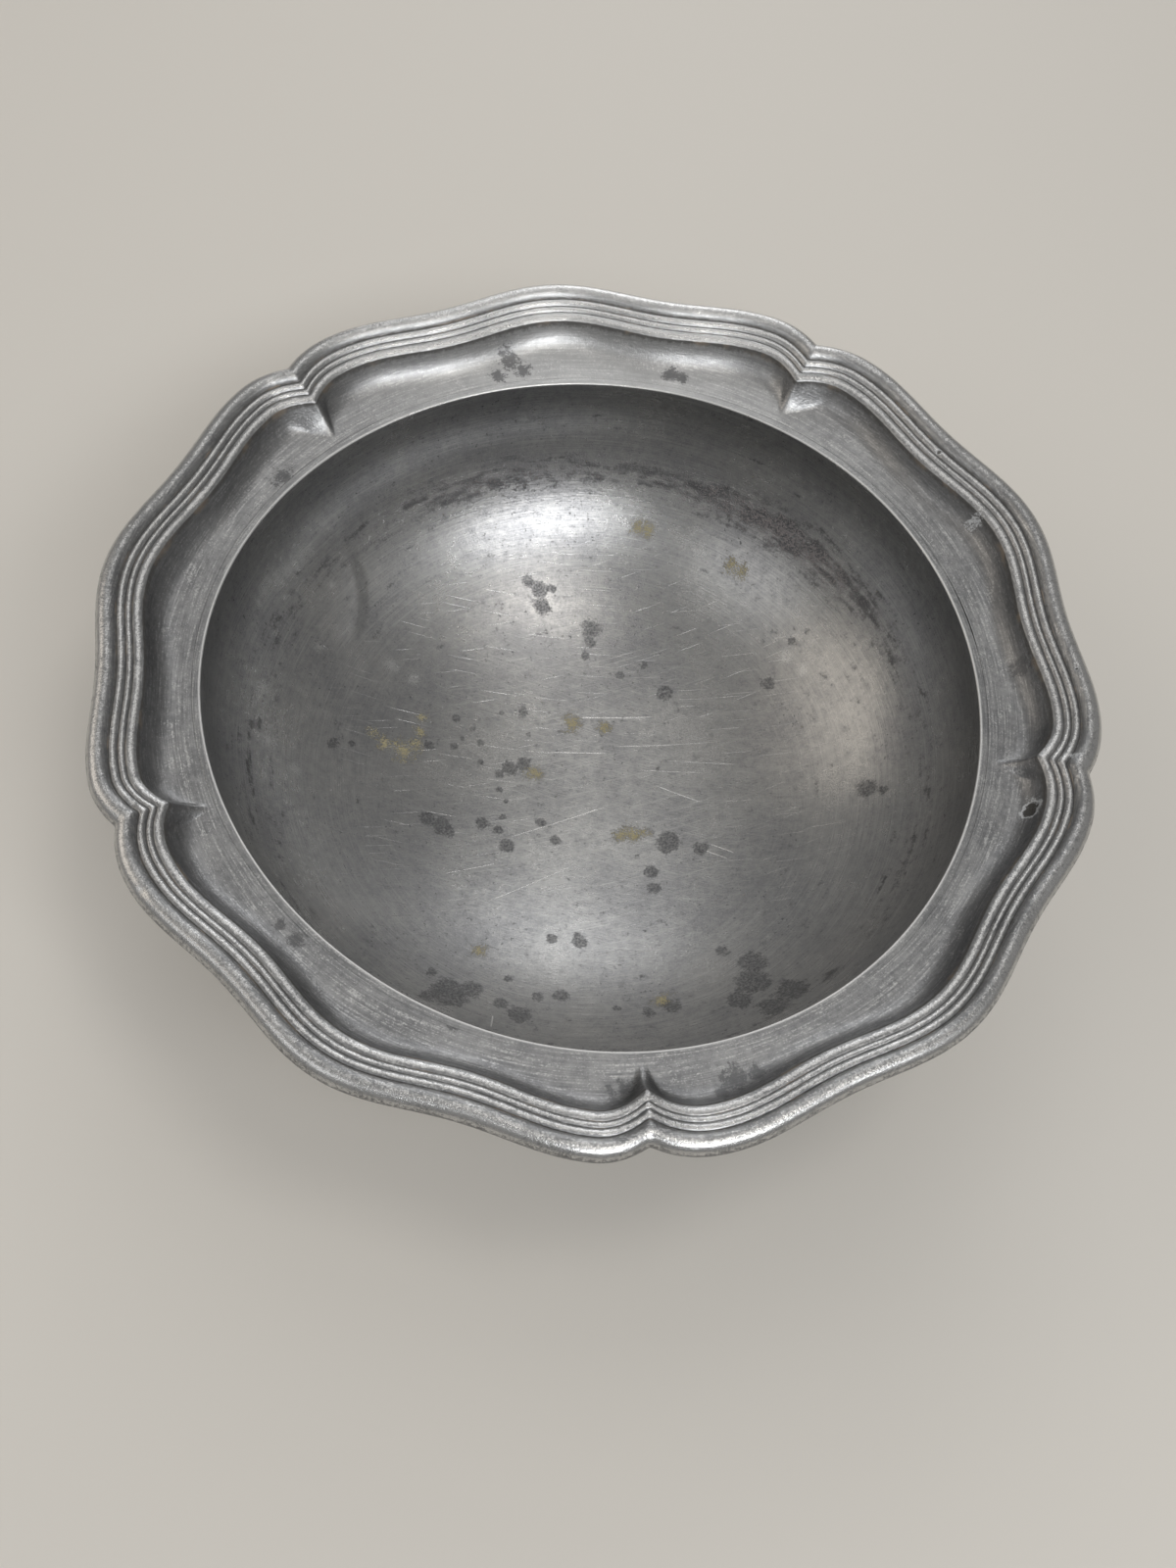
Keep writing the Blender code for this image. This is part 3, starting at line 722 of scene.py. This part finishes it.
def makeBorder(finish):
    # rows: panel, reeds and bead, then back underneath at the wall's thickness, and the collar; columns run
    # round the outline and move with the mouth out of round
    b = border
    angle = borderAngles()
    along, values = nearestNotch(angle)
    band = bandOutline()
    reedFoot = edgeLine(along, values, bandWidth())
    width = reedFoot - b["bore"]
    share = (1 - (1 - np.linspace(0, 1, b["panelRows"])) ** b["panelCrowding"])[:-1, None]
    share = np.insert(share, 1, b["crisp"], 0)  # keeps the ledge flat up to the seam
    inset = band[:, :1]
    part = np.linspace(0, 1, b["underRows"])[1:, None]
    lowEdge = edgeLine(along, values, inset[-1])
    underRadius = lowEdge + (reedFoot + b["wall"] - lowEdge) * part
    underHeight = band[-1, 1] + (b["coveRise"] - b["wall"] - band[-1, 1]) * part
    back = np.linspace(b["underFrom"], b["underTo"], b["underRows"])[:, None]
    backRadius, backHeight = underHeights(back, width)
    collar = collarOutline()
    flat = np.zeros_like(angle)
    radius = np.concatenate([
        b["bore"] + width * share, edgeLine(along, values, inset), underRadius, backRadius,
        collar[:, :1] + flat])
    height = np.concatenate([
        panelHeight(share, width, along, values), band[:, 1:2] + flat, underHeight + flat, backHeight,
        collar[:, 1:] + flat])

    outwards = np.clip((radius - lipRadius) / (crestRadius - lipRadius), 0, 1)
    opening = b["seamOpen"] * facingBell(angle, b["seamFacing"], b["seamSpread"])
    radius = radius + opening * np.clip(1 - (radius - b["bore"]) / b["seamFade"], 0, 1)
    inner = knocked(angle, lipRadius, height + lipHeight)
    radius = radius + inner * (1 - outwards) + outOfRound(angle, 0) * b["outerRound"] * outwards
    radius = radius + b["shift"] * np.cos(angle - math.radians(b["shiftTowards"])) * outwards
    wander = ripple(angle, b["waverSeed"], *b["waverOrders"]) - b["waverSink"]
    height = height + lipHeight + b["waver"] * wander * outwards
    x, y = radius * np.cos(angle), radius * np.sin(angle)
    onTop = np.arange(len(radius))[:, None] < len(share) + len(band)
    pit = np.where(onTop, coneField(x, y, b["pits"]), -1.0)
    height = height - b["pitDepth"] * np.clip(pit + b["pitFrom"], 0, b["pitFloor"])
    for atX, atY, size, depth in b["nicks"]:
        height = height - depth * bell(np.hypot(x - atX, y - atY), size)

    rest = np.zeros((len(radius) - len(share) - len(band), 1))
    dirt = np.clip((share - b["dirtFrom"]) / (1 - b["dirtFrom"]), 0, 1)
    # the bead's outer, lower side gets shares just under 1, which brings the cove's painted shade onto it
    beadShadeShare = np.clip((band[:, 1:2] - b["coveRise"]) / b["bandTilt"], b["beadShadeLeast"], 1)
    fields = {
        "share": np.concatenate([share, np.where(inset < b["beadRadius"], beadShadeShare, 1.0), 1 + rest]),
        "groove": np.concatenate([dirt, band[:, 2:3], rest]),
        "crestWearAndSheen": np.concatenate([0 * share, band[:, 3:], rest]),
        "paintedSheen": paintedSheenSide(angle),
        "stains": np.where(onTop, coneField(x, y, b["stains"]), -1.0),
        "pits": pit,
        "chalk": np.where(onTop, coneField(x, y, b["chalk"]), -1.0)}
    return placePiece("reededBorder", radius, angle, height, True, finish, "rim", fields)


castPewter = dict(
    anisotropy=0.45, roughness=0.34,
    colour=(0.335, 0.337, 0.339, 1), shade=(0.205, 0.208, 0.214, 1), bare=(0.640, 0.640, 0.636, 1),
    dirt=(0.066, 0.062, 0.056, 1), dust=(0.210, 0.165, 0.120, 1), stain=(0.112, 0.113, 0.117, 1),
    chalk=(0.600, 0.616, 0.630, 1),
    # noises on the ledge, then on the marks: size of a lump, detail, roughness
    ledgeCloud=(12, 4), ledgeMottle=(1.8, 6, 0.65), ledgeSpeck=(0.5, 3, 0.6), ledgeScuff=(6, 5, 0.7),
    cloud=(9, 3), mottle=(1.6, 6, 0.65), speck=(0.5, 4, 0.65),
    streak=(0.42, 9),  # streaks round the axis: width, sweep
    # levels between which each kind of mark sets in, and how strongly it shows
    grooveCut=(1.05, 1.65), wornAndSheenCut=(2.30, 2.86), stainCut=(1.92, 2.26), pitCut=(1.08, 1.30),
    chalkCut=(2.45, 2.95), darkCut=(1.10, 1.70), scuffCut=(0.54, 0.70),
    brightCut=(0.10, 0.40), brightShow=0.75,
    # grime is the grooves' dirt; the next two set where painted shade darkens the cove and the bead's outer
    # side
    grimeCut=(0.52, 0.66), paintedShadeCut=(0.35, 0.85), paintedShadeEnd=(0.995, 0.97),
    pitEdge=((0.78, 0.94), (1.22, 1.04)),  # pale ring round a pit
    # strengths: painted highlight on the far side, painted shade in the cove, crests worn bright with a
    # painted highlight, then stains, grooves, chalk and pits
    paintedSheenShow=0.42, paintedShadeShow=0.42, wornAndSheenShow=0.80, stainShow=0.78, grooveShow=0.80, chalkShow=0.75,
    pitShow=0.8, pitEdgeShow=0.8,
)


def ledgePatina(tree, where):
    # dull cast metal: clouds, fine streaks round the axis and a small grain, as colour, roughness and relief
    p = castPewter
    cloud, mottle, speck, patch = (
        grain(tree, where, *p[name]) for name in ("ledgeCloud", "ledgeMottle", "ledgeSpeck", "ledgeScuff"))
    streak = turningLines(tree, where, *p["streak"])
    dark = addUp(tree, (cloud, 0.8), (mottle, 1.0), (speck, 0.5), (streak, 0.5))
    colour = tint(tree, ramp(tree, dark, *p["darkCut"]), p["colour"], p["shade"])
    scuff = ramp(tree, patch, *p["scuffCut"])
    bright = addUp(tree, (streak, -0.7), (speck, 0.9), (scuff, 0.12))
    colour = tint(tree, ramp(tree, bright, *p["brightCut"], 0, p["brightShow"]), colour, p["bare"])
    # painted highlight: the far side of ledge and lip is laid over with the bare colour
    colour = layOver(tree, colour, p["bare"], field(tree, "paintedSheen"), p["paintedSheenShow"])
    roughness = addUp(tree, (cloud, 0.10), (mottle, 0.12), (streak, 0.06))
    roughness = calc(tree, "ADD", roughness, p["roughness"] - 0.14)  # less the noises' own mean
    return colour, roughness, addUp(tree, (mottle, 0.06), (speck, 0.07), (streak, 0.035))


def castFinish():
    # dull cast pewter: the ledge's patina, dirty grooves, reed crests worn bright with a painted highlight,
    # painted shade in the cove and on the bead's outer side, stains and pits
    p = castPewter
    finish, tree = newFinish("castPewter")
    where = inMillimetres(tree)
    colour, roughness, relief = ledgePatina(tree, where)
    cloud, mottle, speck = (grain(tree, where, *p[name]) for name in ("cloud", "mottle", "speck"))
    share = field(tree, "share")
    # painted shade: darker in the cove by the reeds and on the bead's outer side, left off on the side with
    # the painted highlight
    hollow = between(tree, share, (*p["paintedShadeCut"], 0, p["paintedShadeShow"]), p["paintedShadeEnd"])
    hollow = calc(tree, "MULTIPLY", hollow, calc(tree, "SUBTRACT", 1.0, field(tree, "paintedSheen")))
    groove = ramp(tree, ragged(tree, "groove", (mottle, 0.9), (speck, 0.6)), *p["grooveCut"])
    # reed crests: worn bright, with a painted highlight added to that wear
    wornAndSheen = ramp(tree, ragged(tree, "crestWearAndSheen", (mottle, 1.4), (speck, 1.8), (cloud, 0.6)), *p["wornAndSheenCut"])
    stain = ramp(tree, ragged(tree, "stains", (mottle, 1.8), (speck, 1.4), (cloud, 0.6)), *p["stainCut"])
    pitted = ragged(tree, "pits", (mottle, 1.0), (speck, 0.8))
    pit = ramp(tree, pitted, *p["pitCut"])
    pitEdge = between(tree, pitted, *p["pitEdge"])
    chalk = ramp(tree, ragged(tree, "chalk", (mottle, 1.8), (speck, 2.4)), *p["chalkCut"])
    chalk = calc(tree, "MAXIMUM", calc(tree, "MULTIPLY", pitEdge, p["pitEdgeShow"]), chalk)
    grime = tint(tree, ramp(tree, cloud, *p["grimeCut"]), p["dirt"], p["dust"])

    # the stain colour here paints the shade in the cove and on the bead
    colour = tint(tree, hollow, colour, p["stain"])
    colour = layOver(tree, colour, p["bare"], wornAndSheen, p["wornAndSheenShow"])
    colour = layOver(tree, colour, p["stain"], stain, p["stainShow"])
    colour = layOver(tree, colour, grime, groove, p["grooveShow"])
    colour = layOver(tree, colour, p["chalk"], chalk, p["chalkShow"])
    colour = layOver(tree, colour, p["dirt"], pit, p["pitShow"])
    roughness = addUp(
        tree, (roughness, 1.0), (groove, 0.2), (stain, 0.08), (wornAndSheen, -0.10), (chalk, 0.15), (pit, 0.15))
    metal = calc(tree, "SUBTRACT", 1.0, addUp(tree, (groove, 0.35), (chalk, 0.5), (stain, 0.1)))
    relief = addUp(tree, (relief, 1.0), (pit, -0.10), (chalk, 0.02))
    pewterShader(tree, p, colour, roughness, metal, relief)
    return finish


# Foot and solder

foot = dict(
    neck=34.0, neckBand=3.0, ring=6.0, edge=4.5, wall=2.2, gap=0.3,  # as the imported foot
    columns=256, flareRows=40, edgeRows=26, insideRows=36,
)
solder = dict(
    leg=1.8, gap=0.3, hollow=0.30, columns=320, curveRows=9,
    unevenness=0.16, orders=(5, 40), borderSeed=21, footSeed=22,  # how its size wanders round the dish
)


def bowlUnderside(radius):
    # height of the bowl's outside, below its straight band: level less depth times the root of 1 - (r / R)^2
    level = lipHeight - bowl["lipBand"]
    return level - (level - bowlFoot) * np.sqrt(1 - (radius / lipRadius) ** 2)


def footOutline():
    # straight neck, quarter-ellipse flare, half-round edge, flat standing ring and the hollow inside
    f = foot
    flareEnd = footRadius - f["ring"]
    top = bowlUnderside(f["neck"]) - f["gap"]
    bore = f["neck"] - f["wall"]
    flareTop = top - f["neckBand"]
    spread, drop = flareEnd - f["neck"], flareTop - f["edge"]
    half = f["edge"] / 2
    neck = line((f["neck"], top), (f["neck"], flareTop), 6)
    flare = arc((flareEnd, flareTop), (spread, drop), 180, 270, f["flareRows"])
    fillet = line(flare[-1], (footRadius - half, f["edge"]), 6)
    edge = arc((footRadius - half, half), (half, half), 90, -90, f["edgeRows"])
    ring = line(edge[-1], (flareEnd, 0.0), 5)
    step = line(ring[-1], (flareEnd, f["edge"] - f["wall"]), 4)
    inside = arc((flareEnd, flareTop), (spread + f["wall"], drop + f["wall"]), 270, 180, f["insideRows"])
    up = line(inside[-1], (bore, bowlUnderside(bore) - f["gap"]), 5)
    return joinRuns(neck, flare, fillet, edge, ring, step, inside, up)


def makeFoot(finish):
    # the foot's outline turned about Z
    outline = footOutline()
    angle = np.linspace(0, 2 * np.pi, foot["columns"], endpoint=False)[None, :]
    radius = np.broadcast_to(outline[:, :1], (len(outline), foot["columns"]))
    height = np.broadcast_to(outline[:, 1:], radius.shape)
    return placePiece("hollowFoot", radius, angle, height, True, finish, "foot", {})


def makeSolder(name, node, corner, outer, lower, seed, finish):
    # a fillet in a corner: two legs and a hollow curve between them, its size wandering round the dish
    s = solder
    corner, outer, lower = (np.array(point) for point in (corner, outer, lower))
    share = np.linspace(0, 1, s["curveRows"])[:, None]
    middle = corner + s["hollow"] * (outer + lower - 2 * corner)
    curve = outer * (1 - share) ** 2 + 2 * middle * share * (1 - share) + lower * share**2
    outline = joinRuns(line(corner, outer, 4), curve, line(lower, corner, 4))[:-1]
    angle = np.linspace(0, 2 * np.pi, s["columns"], endpoint=False)[None, :]
    size = 1 - s["unevenness"] * (0.5 + 0.5 * ripple(angle, seed, *s["orders"]))
    radius = corner[0] + (outline[:, :1] - corner[0]) * size
    height = corner[1] + (outline[:, 1:] - corner[1]) * size
    radius = radius + knocked(angle, radius, height)
    return placePiece(name, radius, angle, height, True, finish, node, {})


dullPewter = dict(
    anisotropy=0.0, roughness=0.46, lump=(3.0, 5, 0.6), cloud=(16, 4), fine=(0.6, 3), darkCut=(0.55, 0.95),
    colour=(0.320, 0.322, 0.328, 1), shade=(0.200, 0.202, 0.208, 1),
)
softSolder = dict(
    anisotropy=0.0, roughness=0.48, lump=(1.2, 5, 0.6), cloud=(16, 4), fine=(0.6, 3), darkCut=(0.55, 0.95),
    colour=(0.450, 0.450, 0.450, 1), shade=(0.280, 0.280, 0.284, 1),
)


def dullFinish(name, settings):
    # unpolished metal: cloudy patina, faint turning lines and small lumps
    finish, tree = newFinish(name)
    where = inMillimetres(tree)
    cloud = grain(tree, where, *settings["cloud"])
    mottle = grain(tree, where, *settings["lump"])
    fine = turningLines(tree, where, *settings["fine"])
    dark = ramp(tree, addUp(tree, (cloud, 0.8), (mottle, 0.4), (fine, 0.2)), *settings["darkCut"])
    colour = tint(tree, dark, settings["colour"], settings["shade"])
    roughness = addUp(tree, (cloud, 0.12), (mottle, 0.12))
    roughness = calc(tree, "ADD", roughness, settings["roughness"] - 0.12)  # less the noises' own mean
    metal = calc(tree, "SUBTRACT", 1.0, calc(tree, "MULTIPLY", dark, 0.12))
    relief = addUp(tree, (mottle, 0.03), (fine, 0.010))
    pewterShader(tree, settings, colour, roughness, metal, relief)
    return finish


# Studio

view = dict(
    turn=12.85, elevation=57.73, distance=463.1, roll=7.77, pan=-0.14, tilt=3.14,  # degrees and millimetres
    lensPixels=1900, frameHeight=1600,  # lens and frame, in pixels
    nearest=0.01,
)
floor = dict(size=12.0, colour=(0.71, 0.68, 0.63, 1), roughness=0.6)
# lamps: azimuth to the right of straight ahead and elevation; distance, width and height in metres; radiance
# and colour
lamps = dict(
    overhead=(118, 76, 1.4, 0.3, 0.3, 7.0, (1.0, 0.97, 0.92)),
    behind=(151, 51, 1.4, 0.8, 0.3, 8.0, (0.97, 0.985, 1.0)),
    ahead=(0, 28, 1.4, 0.5, 0.4, 2.6, (0.98, 0.99, 1.0)),
    aheadLow=(-4, 9, 1.4, 0.9, 0.22, 1.7, (1.0, 0.99, 0.97)),
    aheadHigh=(-4, 50, 1.4, 0.6, 0.4, 1.0, (1.0, 0.99, 0.97)),
    top=(0, 73, 1.4, 0.6, 0.5, 0.8, (1.0, 0.98, 0.95)),
    leftHand=(-79, 38, 1.5, 0.9, 0.9, 0.9, (1.0, 0.91, 0.80)),
    backLeft=(-130, 50, 1.4, 0.6, 0.6, 1.1, (1.0, 1.0, 1.0)),
    rightHand=(108, 45, 1.5, 0.7, 0.7, 0.35, (1.0, 1.0, 1.0)),
)
sky = dict(horizon=(0.275, 0.270, 0.262, 1), zenith=(0.300, 0.296, 0.290, 1), zenithFrom=0.9)


def bearing(azimuth, elevation):
    # unit vector from the dish: azimuth turns right from straight ahead in the view, elevation tips up
    a, e = math.radians(azimuth + view["turn"]), math.radians(elevation)
    return np.array([math.sin(a) * math.cos(e), math.cos(a) * math.cos(e), math.sin(e)])


def makeCamera():
    # stands at the view's elevation and distance from the lip's centre, then turned by pan, tilt and roll
    away = bearing(180, view["elevation"])
    ahead = -away
    right = np.cross(ahead, (0, 0, 1))
    right /= np.linalg.norm(right)
    down = np.cross(ahead, right)
    pan = Matrix.Rotation(math.radians(view["pan"]), 3, "Y")
    tilt = Matrix.Rotation(math.radians(view["tilt"]), 3, "X")
    roll = Matrix.Rotation(math.radians(view["roll"]), 3, "Z")
    axes = np.array(roll @ tilt @ pan) @ np.stack([right, down, ahead])
    stand = away * view["distance"] * mm + np.array([0, 0, lipHeight * mm])
    world = np.eye(4)
    world[:3] = np.stack([axes[0], -axes[1], -axes[2], stand], 1)
    camera = bpy.data.objects.new("camera", bpy.data.cameras.new("camera"))
    camera.matrix_world = Matrix(world.tolist())
    camera.data.lens = camera.data.sensor_width * view["lensPixels"] / view["frameHeight"]
    camera.data.clip_start = view["nearest"]
    bpy.context.scene.collection.objects.link(camera)
    bpy.context.scene.camera = camera


def makeLamps():
    # area lamps aimed at the dish; power = radiance times pi times area
    for name, (azimuth, elevation, distance, width, height, radiance, colour) in lamps.items():
        light = bpy.data.lights.new(name, "AREA")
        light.shape = "RECTANGLE"
        light.size, light.size_y = width, height
        light.energy = radiance * math.pi * width * height
        light.color = colour
        holder = bpy.data.objects.new(name, light)
        heading = Vector(bearing(azimuth, elevation))
        holder.location = heading * distance + Vector((0, 0, lipHeight * mm))
        holder.rotation_euler = (-heading).to_track_quat("-Z", "Y").to_euler()
        bpy.context.scene.collection.objects.link(holder)


def makeSky():
    # even light all round, brighter overhead
    world = bpy.data.worlds.new("studio")
    bpy.context.scene.world = world
    world.use_nodes = True
    tree = world.node_tree
    heading = put(tree, "ShaderNodeTexCoord", {}).outputs["Generated"]
    up = put(tree, "ShaderNodeSeparateXYZ", {0: heading}).outputs[2]
    colour = tint(tree, ramp(tree, up, 0.0, sky["zenithFrom"]), sky["horizon"], sky["zenith"])
    tree.links.new(colour, tree.nodes["Background"].inputs["Color"])


def makeFloor():
    # a flat pale sheet under the foot
    mesh = bpy.data.meshes.new("floor")
    half = floor["size"] / 2
    corners = [(-half, -half, 0), (half, -half, 0), (half, half, 0), (-half, half, 0)]
    mesh.from_pydata(corners, [], [(0, 1, 2, 3)])
    finish, tree = newFinish("paleFloor")
    shader = tree.nodes["Principled BSDF"]
    shader.inputs["Base Color"].default_value = floor["colour"]
    shader.inputs["Roughness"].default_value = floor["roughness"]
    mesh.materials.append(finish)
    sheet = bpy.data.objects.new("floor", mesh)
    bpy.context.scene.collection.objects.link(sheet)


makeBowl(rubbedFinish())
makeBorder(castFinish())
makeFoot(dullFinish("dullPewter", dullPewter))
solderFinish = dullFinish("softSolder", softSolder)
leg, gap = solder["leg"], solder["gap"]
collarIn, collarUnder = lipRadius + gap, collarFoot - gap
makeSolder(
    "borderSolder", "rim_solder", (collarIn, collarUnder), (collarIn + leg, collarUnder),
    (collarIn, collarUnder - leg), solder["borderSeed"], solderFinish)
neckOut = foot["neck"] + gap
neckUnder = bowlUnderside(neckOut) - gap
makeSolder(
    "footSolder", "foot_solder", (neckOut, neckUnder), (neckOut + leg, bowlUnderside(neckOut + leg) - gap),
    (neckOut, neckUnder - leg), solder["footSeed"], solderFinish)
print("pieces made")

makeCamera()
makeLamps()
makeSky()
makeFloor()
bpy.context.scene.view_settings.view_transform = "Standard"
print("studio set")
